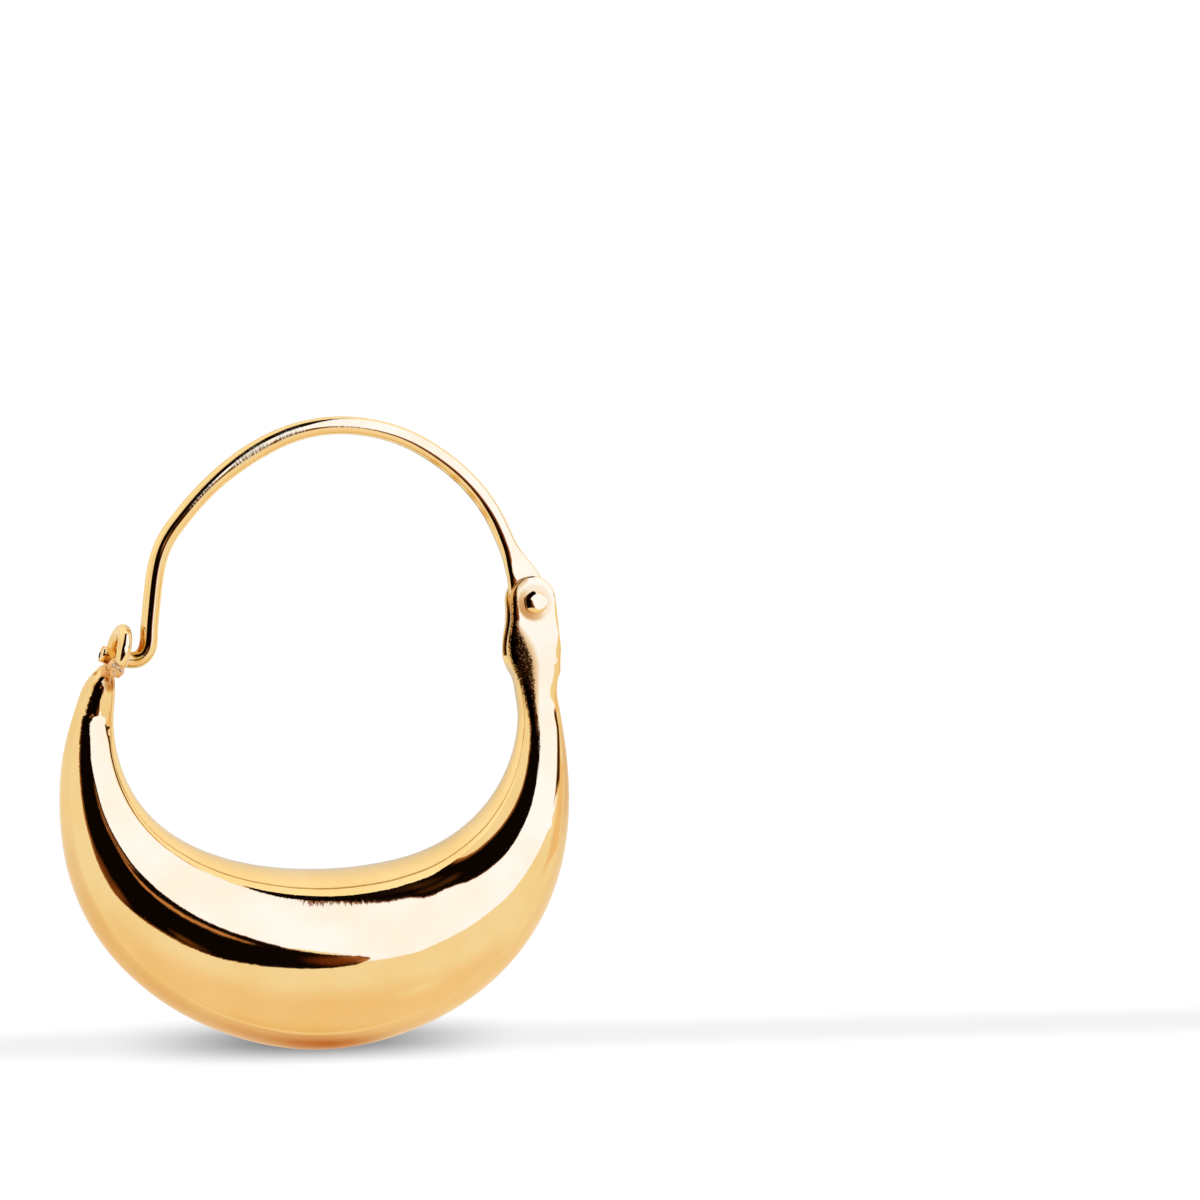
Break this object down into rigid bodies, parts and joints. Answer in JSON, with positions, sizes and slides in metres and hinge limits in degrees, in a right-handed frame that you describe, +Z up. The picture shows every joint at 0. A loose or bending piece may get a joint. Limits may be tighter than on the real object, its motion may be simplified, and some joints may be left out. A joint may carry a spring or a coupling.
{
  "type": "hollow hoop earring",
  "caption": "Hollow crescent hoop earring with a riveted, hinged ear wire that hooks into a catch loop at the other end of the tube.",
  "frame": {"origin": "on the table under the middle of the earring's outline, as it lies on its side", "axes": "+Z up from the table, +Y from the belly towards the top of the ear wire, +X from the catch towards the hinge"},
  "size_m": [0.0268, 0.0319, 0.008],
  "materials": {
    "hoop_gold": "polished gold plate",
    "rivet_gold": "polished gold plate",
    "wire_gold": "polished gold plate"
  },
  "bodies": {
    "hoop": {"hoop_body": "hoop_gold", "hinge_rivet": "rivet_gold"},
    "ear_wire": {"ear_wire": "wire_gold"}
  },
  "joints": [
    {"name": "wire_hinge", "type": "hinge", "parent": "hoop", "child": "ear_wire", "pos_m": [0.01144, 0.00658, 0.00165], "axis": [0, -0.1305, -0.9914], "range_deg": [0, 100]}
  ]
}
